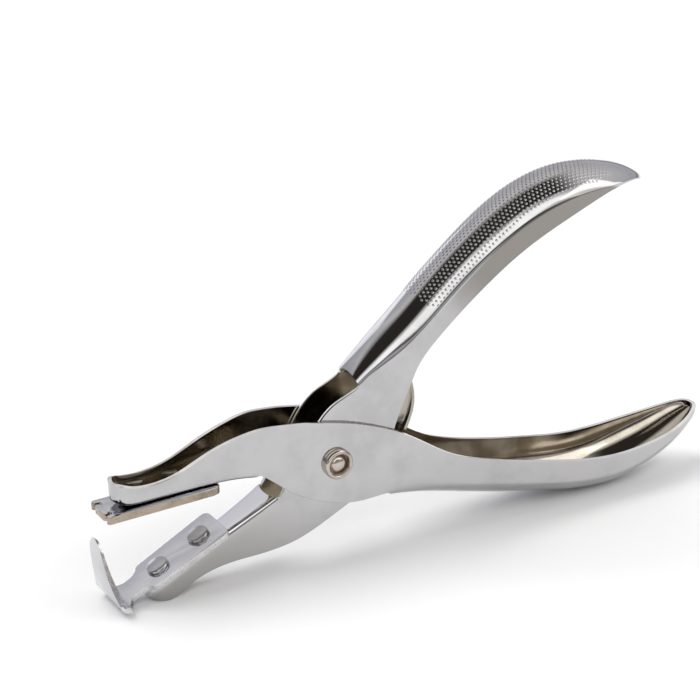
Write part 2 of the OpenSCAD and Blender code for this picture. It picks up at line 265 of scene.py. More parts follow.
finishes = {  # ripple and tear are heights in mm
    "leverChrome": {"light": (0.52, 0.515, 0.522), "shade": (0.455, 0.45, 0.457), "smooth": 0.06, "dull": 0.12,
                    "scratches": 0.25, "ripple": 0.004},
    # the channel's inside: darker and browner than the plating as painted shade of the hollow; its rougher finish is
    # its own
    "leverInsideShaded": {"light": (0.50, 0.46, 0.395), "shade": (0.27, 0.23, 0.175), "smooth": 0.09, "dull": 0.22,
                    "scratches": 0.4, "ripple": 0.02},
    # the sheet's cut edges: near white and warm, a painted highlight along the rims
    "cutEdgeHighlight": {"light": (0.95, 0.93, 0.90), "shade": (0.62, 0.58, 0.52), "smooth": 0.12, "dull": 0.34,
                "scratches": 0.2, "ripple": 0.02},
    "plateChrome": {"light": (0.63, 0.63, 0.655), "shade": (0.55, 0.55, 0.575), "smooth": 0.10, "dull": 0.17,
                    "scratches": 0.4, "ripple": 0.006},
    "sheared": {"light": (0.42, 0.355, 0.285), "shade": (0.21, 0.165, 0.125), "smooth": 0.20, "dull": 0.40,
                "scratches": 0.2, "ripple": 0.02, "tear": 0.03},
    "rolledEdge": {"light": (0.70, 0.70, 0.71), "shade": (0.56, 0.55, 0.54), "smooth": 0.14, "dull": 0.30,
                   "scratches": 0.3, "ripple": 0.02, "tear": 0.008},
    "rivetChrome": {"light": (0.45, 0.445, 0.45), "shade": (0.35, 0.34, 0.33), "smooth": 0.12, "dull": 0.22,
                    "scratches": 0.2, "ripple": 0.006},
    "ringChrome": {"light": (0.56, 0.51, 0.46), "shade": (0.42, 0.36, 0.31), "smooth": 0.08, "dull": 0.20,
                   "scratches": 0.2, "ripple": 0.006},
    "serrated": {"light": (0.62, 0.61, 0.60), "shade": (0.30, 0.27, 0.24), "smooth": 0.16, "dull": 0.35,
                 "scratches": 0.2, "ripple": 0.02, "tear": 0.05},
    "springSteel": {"light": (0.42, 0.39, 0.35), "shade": (0.28, 0.25, 0.21), "smooth": 0.14, "dull": 0.30,
                    "scratches": 0.5, "ripple": 0.02},
}


def makeFinish(name, looks, zones=()):
    material = bpy.data.materials.new(name)
    material.use_nodes = True
    tree = material.node_tree
    shader = tree.nodes["Principled BSDF"]
    shader.inputs["Metallic"].default_value = 1.0
    onPiece = tree.nodes.new("ShaderNodeTexCoord").outputs["Object"]
    polish = placeGroup(tree, polishGroup, onPiece)
    polish.inputs["Smooth"].default_value = looks["smooth"]
    polish.inputs["Dull"].default_value = looks["dull"]
    polish.inputs["Scratches"].default_value = looks["scratches"]
    colour = mixColours(tree, polish.outputs["Smudge"], looks["light"], looks["shade"])
    normal = bumpNode(tree, polish.outputs["Height"], looks["ripple"])
    for zone in zones:  # parts of the sheet, in mm along and across it, with a painted tint of light or shade
        uv = tree.nodes.new("ShaderNodeUVMap")
        uv.uv_map = "sheetMap"
        along, across, _ = separate(tree, uv.outputs["UV"])
        across = softStep(tree, mathNode(tree, "ABSOLUTE", across), *(limit / mapUnit for limit in zone["across"]))
        along = softStep(tree, along, *(limit / mapUnit for limit in zone["along"]))
        colour = mixColours(tree, mathNode(tree, "MULTIPLY", across, along), colour, zone["paintedTint"])
    if "tear" in looks:
        tear = placeGroup(tree, tearGroup, onPiece)
        speck = tuple(c * plating["tear"]["darken"] for c in looks["shade"])
        colour = mixColours(tree, tear.outputs["Speck"], colour, speck)
        normal = bumpNode(tree, tear.outputs["Height"], looks["tear"], normal)
    tree.links.new(colour, shader.inputs["Base Color"])
    tree.links.new(polish.outputs["Roughness"], shader.inputs["Roughness"])
    tree.links.new(normal, shader.inputs["Normal"])
    return material


# walls and web of the inner lever, with painted reflection and shade: darker or paler as the surroundings they face
# would mirror in them
# the handle's walls: painted dark reflection
handleWallReflection = {"across": (9.6, 10.2), "along": (92.0, 112.0), "paintedTint": (0.27, 0.255, 0.24)}
# the jaw's walls near the nose: painted shade under the tongue plate
jawWallShade = {"across": (4.4, 5.0), "along": (46.0, 15.0), "paintedTint": (0.41, 0.40, 0.385)}
# the jaw's web: painted pale reflection
jawWebReflection = {"across": (4.2, 3.4), "along": (50.0, 44.0), "paintedTint": (0.74, 0.74, 0.78)}
outerSkin = makeFinish("outerLeverChrome", finishes["leverChrome"])
innerSkin = makeFinish("innerLeverChrome", finishes["leverChrome"], zones=(handleWallReflection, jawWallShade, jawWebReflection))
shadedInsideSkin = makeFinish("leverInsideChrome", finishes["leverInsideShaded"])
highlitEdgeSkin = makeFinish("leverCutEdgeHighlight", finishes["cutEdgeHighlight"])
plateSkin = makeFinish("plateChrome", finishes["plateChrome"])
shearedSkin = makeFinish("shearedEdge", finishes["sheared"])
rolledSkin = makeFinish("rolledEdge", finishes["rolledEdge"])
rivetSkin = makeFinish("rivetChrome", finishes["rivetChrome"])
ringSkin = makeFinish("ringChrome", finishes["ringChrome"])
serratedSkin = makeFinish("serratedEdge", finishes["serrated"])
springSkin = makeFinish("springSteel", finishes["springSteel"])
print("finishes made")

sheetSection = {
    "deepestDrop": 0.85,  # most of the depth that a rounded corner may take
    "creaseAngle": 20.0,  # degrees at which a fully creased crown leaves the side
    "rimBand": 1.1,  # mm, height of the band below the rim that holds the flare
    "bandFlare": 0.15,  # part of the flare left at the foot of that band
    "sideShare": 0.35,  # place of the side's middle point, from crown to rim
    "hollowShare": 0.5,  # part of the corner's drop that a hollow end reaches
    "arcSteps": 3,
    "fold": 3,  # section points from a rim to the fold
}


def sectionPoints(station, floor):
    # one section of the channel, near rim to far rim, from a row of the lever's table
    rim, web, w = Vector(station["rim"]), Vector(station["web"]), station["w"]
    depth = (rim - web).length
    down = (rim - web) / depth
    drop = min(station["drop"], depth * sheetSection["deepestDrop"])
    side, share = depth - drop, sheetSection["sideShare"]
    flat = max(w - station["reach"], 0.0)
    start = math.radians(sheetSection["creaseAngle"]) * station.get("crease", 0.0)
    flare = station.get("flare", 0.0)
    run = Vector((-down.y, down.x))
    half = [(w + flare, depth),
            (w + flare * sheetSection["bandFlare"], depth - min(sheetSection["rimBand"], side * share)),
            (w, drop + side * share), (w, drop)]
    for step in range(1, sheetSection["arcSteps"] + 1):
        f = start + (math.pi / 2 - start) * step / sheetSection["arcSteps"]
        half.append((flat + (w - flat) * math.cos(f) / math.cos(start),
                     drop * (1 - math.sin(f)) / (1 - math.sin(start))))
    half.append((0.0, 0.0))
    points = []
    for sign, part in ((-1, half), (1, half[-2::-1])):
        for y, s in part:
            p = web + down * s
            if s < drop * sheetSection["hollowShare"] and station.get("hollow"):
                p += run * station["hollow"] * (1 - (y / w) ** 2)
            points.append(Vector((p.x, sign * y, max(p.y, floor))))
    return points


def travelAlong(points):
    # distance from the first point to each of them
    travel = [0.0]
    for a, b in zip(points, points[1:]):
        travel.append(travel[-1] + (b - a).length)
    return travel


sheetWork = {
    "foldCrease": 0.75,
    "rimCrease": 0.9,
    "subdivisions": 2,
    "smoothAngle": 50.0,
    "probeRow": -8,  # a row of the handle, where the crown plainly faces up or down
}


def makeLever(name, looks, rows, skins, webUp):
    floor = -(pivot.z - cadLow.z) / mm
    sections = [sectionPoints(station, floor) for station in rows]
    columns, count = len(sections[0]), len(sections)
    middle, nearFold, farFold = columns // 2, sheetSection["fold"], columns - 1 - sheetSection["fold"]
    clearSelection()
    bpy.ops.mesh.primitive_grid_add(x_subdivisions=count - 1, y_subdivisions=columns - 1, size=2.0,
                                    location=(0, 0, 0))
    piece = bpy.context.object
    mesh = piece.data
    piece.name = mesh.name = name
    # distance along the lever and round the section, kept as the sheet's own map
    travel = travelAlong([points[middle] for points in sections])
    around = []
    for points in sections:
        length = travelAlong(points)
        around.append([v - length[middle] for v in length])
    spot = {}
    for vertex in mesh.vertices:
        spot[vertex.index] = (round((vertex.co.x + 1) / 2 * (count - 1)), round((vertex.co.y + 1) / 2 * (columns - 1)))
    uvLayer = mesh.uv_layers[0]
    uvLayer.name = "sheetMap"
    for loop in mesh.loops:
        i, j = spot[loop.vertex_index]
        uvLayer.data[loop.index].uv = (travel[i] / mapUnit, around[i][j] / mapUnit)
    for vertex in mesh.vertices:
        i, j = spot[vertex.index]
        vertex.co = place(*sections[i][j])
    # cut the openings out of the web
    pick(piece)
    bpy.ops.object.mode_set(mode="EDIT")
    bpy.ops.mesh.select_mode(type="FACE")
    bpy.ops.mesh.select_all(action="DESELECT")
    sheet = bmesh.from_edit_mesh(mesh)
    for face in sheet.faces:
        cells = [spot[v.index] for v in face.verts]
        i = min(c[0] for c in cells)
        low, high = min(c[1] for c in cells), max(c[1] for c in cells)
        for first, last in looks["openings"]:
            if first <= i < last and low >= nearFold and high <= farFold:
                face.select = True
    bmesh.update_edit_mesh(mesh)
    bpy.ops.mesh.delete(type="FACE")
    # sharpen the fold between side and crown
    bpy.ops.mesh.select_mode(type="EDGE")
    bpy.ops.mesh.select_all(action="DESELECT")
    sheet = bmesh.from_edit_mesh(mesh)
    creased = sheet.edges.layers.float.get("crease_edge") or sheet.edges.layers.float.new("crease_edge")
    for edge in sheet.edges:
        cells = [spot[v.index] for v in edge.verts]
        if cells[0][1] == cells[1][1] and cells[0][1] in (nearFold, farFold):
            edge[creased] = sheetWork["foldCrease"] * min(rows[c[0]].get("crease", 0.0) for c in cells)
    bmesh.update_edit_mesh(mesh)
    bpy.ops.mesh.select_all(action="SELECT")
    bpy.ops.mesh.remove_doubles(threshold=0.02 * mm)
    bpy.ops.mesh.normals_make_consistent(inside=False)
    bpy.ops.object.mode_set(mode="OBJECT")
    # the outside of the sheet faces away from the open side
    probe = place(*sections[sheetWork["probeRow"]][middle])
    nearest = min(mesh.polygons, key=lambda f: (f.center - probe).length)
    if (nearest.normal.z > 0) != webUp:
        mesh.flip_normals()
    for skin in skins:
        mesh.materials.append(skin)
    wall = piece.modifiers.new("sheet", "SOLIDIFY")
    wall.thickness = looks["sheet"] * mm
    wall.offset = -1.0
    wall.use_even_offset = True
    wall.material_offset = 1
    wall.material_offset_rim = 2
    wall.edge_crease_inner = wall.edge_crease_outer = sheetWork["rimCrease"]
    smooth = piece.modifiers.new("smooth", "SUBSURF")
    smooth.levels = smooth.render_levels = sheetWork["subdivisions"]
    applyModifiers(piece)
    bpy.ops.object.shade_smooth_by_angle(angle=math.radians(sheetWork["smoothAngle"]))
    return piece


gripDots = {
    "pitch": 1.2,  # mm from dot to dot
    "lineShare": 0.87,  # of the pitch, from line to line
    "radius": 0.40,
    "height": 0.11,
    "sides": 8,
    "sunk": 0.05,  # mm that the foot lies below the surface
    "shoulder": (0.62, 0.72),  # radius and height of the middle ring, as parts of the dot's
    "fadeOut": 14.0,  # mm over which the dots fade at the handle's end
    "fadeIn": (0.5, 3.0),  # strength of the first dot, and mm to which it grows by 1
    "faintest": 0.15,
    "heightFade": (0.35, 0.65),  # fixed part and fading part of the height
    "widthFade": (0.55, 0.45, 1.6),  # fixed part and fading part of the band's width, and how fast it fades
}


def addDots(piece, rows, band):
    # lines of small raised dots over the crown, joined to the lever
    sections = [sectionPoints(station, -100.0) for station in rows]  # a floor so low flattens nothing
    middle = len(sections[0]) // 2
    travel = travelAlong([points[middle] for points in sections])

    def onCrown(u, v):
        i = max(k for k in range(len(travel) - 1) if travel[k] <= u)
        f = (u - travel[i]) / (travel[i + 1] - travel[i])
        crown = [a.lerp(b, f) for a, b in zip(sections[i], sections[i + 1])]
        left, k = abs(v), middle
        step = 1 if v > 0 else -1
        while left > (crown[k + step] - crown[k]).length:
            left -= (crown[k + step] - crown[k]).length
            k += step
        return place(*crown[k].lerp(crown[k + step], left / (crown[k + step] - crown[k]).length))

    mesh = bpy.data.meshes.new(piece.name + "Dots")
    dots = bmesh.new()
    sheetMap = dots.loops.layers.uv.new("sheetMap")
    count, sides, radius = 0, band["sides"], band["radius"] * mm
    fadeStart, fadeLength = band["fadeIn"]
    fixedHigh, fadingHigh = band["heightFade"]
    fixedWide, fadingWide, fastWide = band["widthFade"]
    shoulder, shoulderHigh = band["shoulder"]
    for line in range(-band["lines"], band["lines"] + 1):
        v = line * band["pitch"] * band["lineShare"]
        for k in range(int((band["last"] - band["first"]) / band["pitch"])):
            u = band["first"] + (k + 0.5 * (line % 2)) * band["pitch"]
            fade = min(1.0, (band["last"] - u) / band["fadeOut"], fadeStart + (u - band["first"]) / fadeLength)
            halfWidth = band["halfWidth"] * (fixedWide + fadingWide * min(1.0, fade * fastWide))
            if fade < band["faintest"] or abs(v) > halfWidth:
                continue
            _, spot, normal, _ = piece.closest_point_on_mesh(onCrown(u, v))
            across = normal.orthogonal().normalized()
            other = normal.cross(across)
            high = band["height"] * mm * (fixedHigh + fadingHigh * fade)
            rings = []
            for scale, lift in ((1.0, -band["sunk"] * mm), (shoulder, high * shoulderHigh)):
                rings.append([dots.verts.new(spot + normal * lift + radius * scale * (
                    across * math.cos(2 * math.pi * q / sides) + other * math.sin(2 * math.pi * q / sides)))
                    for q in range(sides)])
            foot, waist = rings
            top = dots.verts.new(spot + normal * high)
            for q in range(sides):
                n = (q + 1) % sides
                for corners in ((foot[q], foot[n], waist[n], waist[q]), (waist[q], waist[n], top)):
                    face = dots.faces.new(corners)
                    face.smooth = True
                    for loop in face.loops:
                        loop[sheetMap].uv = (u / mapUnit, v / mapUnit)
            count += 1
    dots.normal_update()
    dots.to_mesh(mesh)
    dots.free()
    mesh.materials.append(piece.data.materials[0])
    carrier = bpy.data.objects.new(piece.name + "Dots", mesh)
    bpy.context.scene.collection.objects.link(carrier)
    pick(piece)
    carrier.select_set(True)
    bpy.ops.object.join()
    print(piece.name, "dots", count)


def row(rim, web, w, reach, drop, **more):
    # rim and web are (x, z) from the pivot, w is the half width, reach and drop are the corner's
    return dict(rim=rim, web=web, w=w, reach=reach, drop=drop, **more)


outerLever = {
    "sheet": 1.0,
    "openings": [(11, 18)],  # web faces between these rows are cut away
    "grip": {"lines": 3, "halfWidth": 3.6, "first": 96.0, "last": 150.0},
    "rows": [
        row((-56.0, 5.6), (-55.9, 1.5), 0.0, 0.0, 0.4, flare=0.0),
        row((-55.7, 5.75), (-55.6, 1.15), 1.6, 1.0, 1.0, flare=0.25),
        row((-54.7, 5.8), (-54.5, 0.6), 3.0, 1.5, 1.4, flare=0.3),
        row((-53.0, 5.3), (-53.0, 0.15), 3.85, 1.6, 1.5, flare=0.3),
        row((-50.5, 4.75), (-50.5, 0.03), 4.0, 1.6, 1.5, flare=0.3),
        row((-47.0, 4.6), (-47.0, 0.16), 4.0, 1.6, 1.5, flare=0.3),
        row((-43.5, 5.0), (-43.5, 0.28), 4.0, 1.6, 1.5, flare=0.25),
        row((-39.5, 6.1), (-39.5, 0.42), 4.0, 1.6, 1.5, flare=0.15),
        row((-35.0, 8.3), (-35.0, 0.58), 4.05, 1.6, 1.5, flare=0.05),
        row((-30.0, 10.5), (-30.0, 0.75), 4.35, 1.6, 1.5),
        row((-24.8, 12.0), (-25.0, 0.75), 4.85, 1.6, 1.4),
        row((-20.0, 12.95), (-20.3, 0.55), 5.5, 1.2, 0.9, hollow=3.2),
        row((-16.8, 12.9), (-16.8, -1.2), 5.95, 1.0, 0.1),
        row((-13.6, 12.6), (-13.8, -3.8), 6.15, 1.0, 0.1),
        row((-9.4, 12.2), (-9.6, -6.9), 6.25, 1.0, 0.1),
        row((-2.6, 11.0), (-2.6, -10.1), 6.25, 1.0, 0.1),
        row((4.4, 9.3), (4.4, -11.9), 6.25, 1.0, 0.1),
        row((10.4, 7.2), (10.2, -11.8), 6.25, 1.0, 0.1),
        row((15.2, 5.1), (14.6, -12.5), 6.3, 1.8, 1.2, hollow=-3.0),
        row((18.0, 3.8), (18.0, -13.2), 6.45, 2.6, 2.4),
        row((21.5, 1.7), (21.5, -14.0), 6.75, 3.6, 2.9, crease=0.3),
        row((25.5, -0.9), (25.5, -15.1), 7.1, 5.2, 3.4, crease=0.6),
        row((31.0, -4.5), (31.0, -16.8), 7.45, 6.9, 3.8, crease=0.9),
        row((37.0, -7.1), (37.0, -18.5), 7.6, 7.6, 4.2, crease=1.0),
        row((45.0, -9.4), (45.0, -20.5), 7.75, 7.75, 4.4, crease=1.0),
        row((54.0, -11.6), (54.0, -22.5), 8.3, 8.3, 4.5, crease=1.0),
        row((62.0, -13.2), (62.0, -24.2), 8.8, 8.8, 4.7, crease=1.0),
        row((69.0, -14.6), (69.0, -25.5), 9.15, 9.15, 4.8, crease=1.0),
        row((76.0, -15.5), (75.5, -26.2), 9.25, 9.25, 4.9, crease=1.0),
        row((82.0, -15.7), (81.5, -26.2), 9.3, 9.3, 4.9, crease=1.0),
        row((88.0, -15.4), (87.5, -25.2), 9.1, 9.1, 5.0, crease=0.95),
        row((94.8, -14.7), (94.5, -23.1), 8.6, 8.6, 5.0, crease=0.8),
        row((101.0, -13.7), (101.0, -20.4), 7.4, 7.4, 4.6, crease=0.5),
        row((105.8, -12.4), (106.0, -17.2), 5.8, 5.8, 3.7, crease=0.3),
        row((109.2, -11.3), (109.4, -14.8), 3.9, 3.9, 2.7, crease=0.1),
        row((110.8, -10.9), (111.0, -13.2), 2.0, 2.0, 1.8),
        row((111.2, -10.9), (111.3, -12.6), 0.0, 0.0, 1.2)],
}

innerLever = {
    "sheet": 1.0,
    "openings": [(11, 18)],
    "grip": {"lines": 8, "halfWidth": 8.6, "first": 96.5, "last": 160.0},
    "slope": 26.6,  # of the jaw, degrees
    "jawHollow": -1.4,  # how far the jaw's last row is dished
    "jaw": [  # u, rim v, web v, half width, corner reach and drop
        (54.3, -2.4, 1.2, 0.0, 0.0, 0.4), (53.9, -3.0, 1.45, 1.6, 1.0, 1.0), (52.9, -3.7, 1.7, 3.05, 1.5, 1.4),
        (51.3, -4.2, 1.72, 3.85, 1.6, 1.5), (48.8, -4.1, 1.72, 4.0, 1.6, 1.5), (45.3, -3.7, 1.72, 4.0, 1.6, 1.5),
        (41.5, -3.6, 1.72, 4.0, 1.6, 1.5), (36.4, -4.7, 1.72, 4.0, 1.6, 1.5), (31.4, -6.7, 1.72, 4.05, 1.6, 1.5),
        (26.5, -9.1, 1.72, 4.3, 1.6, 1.5), (21.0, -11.1, 1.72, 4.62, 1.6, 1.4), (16.3, -12.2, 1.72, 4.87, 1.3, 1.0)],
    "rows": [
        row((-3.9, -15.9), (-13.4, -3.6), 5.02, 1.0, 0.1),
        row((2.9, -12.5), (-10.6, 0.6), 5.12, 1.0, 0.1),
        row((9.2, -9.4), (-7.4, 6.3), 5.15, 1.0, 0.1),
        row((13.6, -4.5), (-4.2, 11.4), 5.15, 1.0, 0.1),
        row((15.6, 1.6), (-0.6, 14.7), 5.15, 1.0, 0.1),
        row((16.8, 6.0), (3.0, 16.0), 5.15, 1.0, 0.1),
        row((18.2, 9.6), (5.4, 19.2), 5.3, 3.0, 2.2, hollow=1.4),
        row((19.2, 12.6), (7.4, 21.7), 5.8, 4.3, 3.2),
        row((20.2, 15.8), (9.8, 24.1), 6.5, 5.8, 4.0, crease=0.2),
        row((21.7, 21.6), (13.8, 28.0), 7.3, 7.2, 4.4, crease=0.6),
        row((27.4, 27.4), (20.3, 33.4), 7.6, 7.6, 4.2, crease=1.0),
        row((33.5, 32.6), (26.4, 39.3), 7.65, 7.65, 4.4, crease=1.0),
        row((40.0, 37.7), (33.2, 45.2), 7.75, 7.75, 4.5, crease=1.0),
        row((47.0, 43.1), (41.0, 51.2), 8.35, 8.35, 4.6, crease=1.0),
        row((54.5, 47.6), (49.5, 56.7), 8.9, 8.9, 4.8, crease=1.0),
        row((62.4, 51.2), (58.7, 60.3), 9.3, 9.3, 4.9, crease=1.0),
        row((69.5, 54.1), (67.5, 61.8), 9.2, 9.2, 4.8, crease=1.0),
        row((76.0, 56.2), (76.0, 61.2), 8.5, 8.5, 4.3, crease=0.9),
        row((82.0, 56.7), (82.5, 59.7), 6.9, 6.9, 2.7, crease=0.8),
        row((86.0, 56.1), (86.8, 57.7), 4.9, 4.9, 1.5, crease=0.6),
        row((88.6, 54.9), (89.1, 55.9), 2.6, 2.6, 0.9, crease=0.3),
        row((89.7, 54.2), (90.0, 54.9), 0.0, 0.0, 0.5)],
}


def jawPoint(slope, u, v):
    # a point of the lower jaw: u forward along its slope, v square to it
    s = math.radians(slope)
    return (-u * math.cos(s) - v * math.sin(s), -u * math.sin(s) + v * math.cos(s))


jawRows = [row(jawPoint(innerLever["slope"], u, rim), jawPoint(innerLever["slope"], u, web), w, reach, drop)
           for u, rim, web, w, reach, drop in innerLever["jaw"]]
jawRows[-1]["hollow"] = innerLever["jawHollow"]
innerRows = jawRows + innerLever["rows"]

outerShell = makeLever("outerLeverShell", outerLever, outerLever["rows"], [outerSkin, shadedInsideSkin, highlitEdgeSkin],
                       webUp=False)
addDots(outerShell, outerLever["rows"], {**gripDots, **outerLever["grip"]})
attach(outerShell, "outer")
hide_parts("outer_lever")
innerShell = makeLever("innerLeverShell", innerLever, innerRows, [innerSkin, shadedInsideSkin, highlitEdgeSkin], webUp=True)
addDots(innerShell, innerRows, {**gripDots, **innerLever["grip"]})
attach(innerShell, "inner")
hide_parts("inner_lever")
print("levers made", len(outerShell.data.polygons), len(innerShell.data.polygons))

tongueShape = {
    "centre": (0.3, -3.8),
    "face": 60.7,  # radius of the tongue's front face
    "backFrom": 1.0,  # what lies this far inside the face is the tongue's back
    "front": -54.0,  # the tongue is in front of this x
    "foot": -21.0,
    "tip": -7.0,
    "footThickness": 1.45,
    "tipThickness": 0.5,
    "serrated": {"front": -55.5, "foot": -22.0, "sideways": 0.4},
    "rolled": {"sideways": 0.5, "upright": 0.75},
}


def taperTongue(piece):
    # the tongue thins from its foot to its tip
    centre, foot, tip = Vector(tongueShape["centre"]), tongueShape["foot"], tongueShape["tip"]
    for vertex in piece.data.vertices:
        p = (vertex.co - pivot) / mm
        away = Vector((p.x, p.z)) - centre
        onBack = away.length <= tongueShape["face"] - tongueShape["backFrom"]
        if p.x > tongueShape["front"] or p.z < foot or not onBack:
            continue
        f = min(1.0, (p.z - foot) / (tip - foot))
        thick = tongueShape["footThickness"] * (1 - f) + tongueShape["tipThickness"] * f
        spot = centre + away.normalized() * (tongueShape["face"] - thick)
        vertex.co = place(spot.x, p.y, spot.y)


def skinTongue(piece):
    # the tongue's sides are serrated and the plate's long edges rolled
    slope = math.radians(innerLever["slope"])
    slopeUp = Vector((-math.sin(slope), 0, math.cos(slope)))
    serrated, rolled = tongueShape["serrated"], tongueShape["rolled"]
    for face in piece.data.polygons:
        p = (face.center - pivot) / mm
        sideways = abs(face.normal.y)
        if p.x < serrated["front"] and p.z > serrated["foot"] and sideways > serrated["sideways"]:
            face.material_index = 2
        elif sideways > rolled["sideways"] and abs(face.normal @ slopeUp) < rolled["upright"]:
            face.material_index = 1


edgeWork = {"segments": 3, "angle": 35.0, "smoothAngle": 30.0}
smallParts = {  # pieces that keep the frame's own shape: its node, body, slot, rounding in mm, and skins
    "tonguePlate": ("tongue_plate", "inner", "plate_steel", 0.32, [plateSkin, rolledSkin, serratedSkin]),
    "upperRivetFront": ("upper_rivet_front", "outer", "rivet_steel", 0.12, [rivetSkin]),
    "upperRivetRear": ("upper_rivet_rear", "outer", "rivet_steel", 0.12, [rivetSkin]),
    "tongueRivetFront": ("tongue_rivet_front", "inner", "rivet_steel", 0.14, [rivetSkin]),
    "tongueRivetRear": ("tongue_rivet_rear", "inner", "rivet_steel", 0.14, [rivetSkin]),
    "returnSpring": ("return_spring", "both", "spring_steel", 0.08, [springSkin]),
}


def workedCopy(name, node, body, slot, edge, skins):
    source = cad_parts[node]
    clearSelection()
    piece = source.copy()
    piece.data = source.data.copy()
    piece.name = piece.data.name = name
    bpy.context.scene.collection.objects.link(piece)
    piece.parent = None
    piece.data.materials.clear()
    for skin in skins:
        piece.data.materials.append(skin)
    editAll(piece)
    bpy.ops.mesh.remove_doubles(threshold=0.005 * mm)
    bpy.ops.mesh.dissolve_limited(angle_limit=math.radians(1.0))
    bpy.ops.object.mode_set(mode="OBJECT")
    if name == "tonguePlate":
        taperTongue(piece)
    roundEdges(piece, edge, **edgeWork)
    if name == "tonguePlate":
        skinTongue(piece)
    if body == "both":
        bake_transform(piece)
    else:
        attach(piece, body)
    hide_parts(node)


for name, values in smallParts.items():
    workedCopy(name, *values)

upperPlate = {  # its front edge is pierced into two ears and a wide lip
    "seat": (-30.0, 0.68),  # x and z of the rear end of its top face
    "slope": 2.0,
    "thickness": 1.9,
    "edge": {"width": 0.13, "segments": 3, "angle": 50.0, "smoothAngle": 40.0},
    "shearedBelow": 0.5,  # faces this far from flat are the sheared edge
    "outline": [  # forward and sideways, one half, rear to front
        (0.2, 0.0), (0.2, 3.0), (0.0, 3.9), (-0.6, 4.6), (-1.8, 5.05), (-14.0, 5.05), (-27.9, 5.05),
        (-28.35, 4.95), (-28.65, 4.65), (-28.75, 4.25), (-28.6, 3.85), (-28.25, 3.65), (-27.6, 3.6),
        (-27.1, 3.4), (-26.85, 3.0), (-26.85, 2.35), (-27.1, 2.1), (-27.45, 2.15), (-27.6, 2.5), (-27.9, 2.7),
        (-28.3, 2.7), (-28.6, 2.5), (-28.75, 2.1), (-28.75, 0.0)],
}


def makeUpperPlate(looks):
    slope, low = math.radians(looks["slope"]), -looks["thickness"]
    up = Vector((-math.sin(slope), 0, math.cos(slope)))
    outline = looks["outline"]
    ring = outline + [(x, -y) for x, y in outline[-2:0:-1]]
    clearSelection()
    bpy.ops.mesh.primitive_circle_add(vertices=len(ring), fill_type="NGON", calc_uvs=False, location=(0, 0, 0))
    piece = bpy.context.object
    mesh = piece.data
    piece.name = mesh.name = "upperPlate"
    for vertex, (x, y) in zip(mesh.vertices, ring):
        vertex.co = place(looks["seat"][0] + x * math.cos(slope) - low * math.sin(slope), y,
                          looks["seat"][1] + x * math.sin(slope) + low * math.cos(slope))
    editAll(piece)
    bpy.ops.mesh.extrude_region_move(TRANSFORM_OT_translate={"value": up * looks["thickness"] * mm})
    bpy.ops.mesh.select_all(action="SELECT")
    bpy.ops.mesh.normals_make_consistent(inside=False)
    bpy.ops.object.mode_set(mode="OBJECT")
    roundEdges(piece, **looks["edge"])
    mesh.materials.append(plateSkin)
    mesh.materials.append(shearedSkin)
    for face in mesh.polygons:
        if abs(face.normal @ up) < looks["shearedBelow"]:
            face.material_index = 1
    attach(piece, "outer")
    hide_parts("upper_plate")


makeUpperPlate(upperPlate)

# the pivot is a domed pin in two rolled rings, turned about the joint's axis
pivotParts = {
    "cheek": 6.25,  # from the middle plane to the outer lever's side
    "dome": [  # radius, and height above the cheek
        (0.0, 1.5), (0.6, 1.47), (1.15, 1.34), (1.6, 1.1), (1.95, 0.78), (2.15, 0.42), (2.35, 0.22), (2.55, 0.12),
        (2.6, -0.3)],
    "ring": [
        (2.64, 0.0), (3.74, 0.0), (3.77, 0.5), (3.75, 0.95), (3.62, 1.3), (3.38, 1.53), (3.08, 1.6), (2.82, 1.5),
        (2.68, 1.25), (2.64, 0.8)],
    "turns": 64,
    "smoothAngle": 60.0,
}


def turnPiece(name, node, profile):
    # a closed profile, spun; the pin's closing edge lies on the axis and is dropped
    clearSelection()
    bpy.ops.mesh.primitive_circle_add(vertices=len(profile), fill_type="NOTHING", calc_uvs=False, location=(0, 0, 0))
    piece = bpy.context.object
    mesh = piece.data
    piece.name = mesh.name = name
    for vertex, (r, y) in zip(mesh.vertices, profile):
        vertex.co = place(r, y, 0)
    editAll(piece)
    bpy.ops.mesh.spin(steps=pivotParts["turns"], angle=2 * math.pi, center=pivot, axis=(0, 1, 0))
    bpy.ops.mesh.select_all(action="SELECT")
    bpy.ops.mesh.remove_doubles(threshold=0.005 * mm)
    bpy.ops.mesh.delete_loose(use_verts=True, use_edges=True, use_faces=False)
    bpy.ops.mesh.select_all(action="SELECT")
    bpy.ops.mesh.normals_make_consistent(inside=False)
    bpy.ops.object.mode_set(mode="OBJECT")
    bpy.ops.object.shade_smooth_by_angle(angle=math.radians(pivotParts["smoothAngle"]))
    mesh.materials.append(ringSkin)
    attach(piece, "outer")
    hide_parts(node)


dome, ring = ([(r, pivotParts["cheek"] + y) for r, y in pivotParts[part]] for part in ("dome", "ring"))
turnPiece("pivotPin", "pivot_pin", dome + [(r, -y) for r, y in dome[::-1]])
turnPiece("pivotRingNear", "pivot_ring_near", [(r, -y) for r, y in ring])
turnPiece("pivotRingFar", "pivot_ring_far", ring)

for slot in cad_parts["pivot_sleeve"].material_slots:
    slot.material = rivetSkin
print("small parts made")

studio = {
    "floor": {"size": 60.0, "colour": (0.93, 0.93, 0.93), "grainShade": 0.985, "roughness": 0.9, "specular": 0.2,
              "grain": {"scale": 6.0, "detail": 2.0, "roughness": 0.5}, "gap": 0.05},  # gap in mm
    "sun": {"seat": (-300, 250, 700), "towards": (-0.35, 0.30, 0.90), "strength": 1.9, "angle": 45.0},
    "fill": {"seat": (420, -320, 420), "target": (20, 0, 0), "size": (0.40, 0.40), "watts": 0.6,
             "colour": (1.0, 0.985, 0.96)},
}


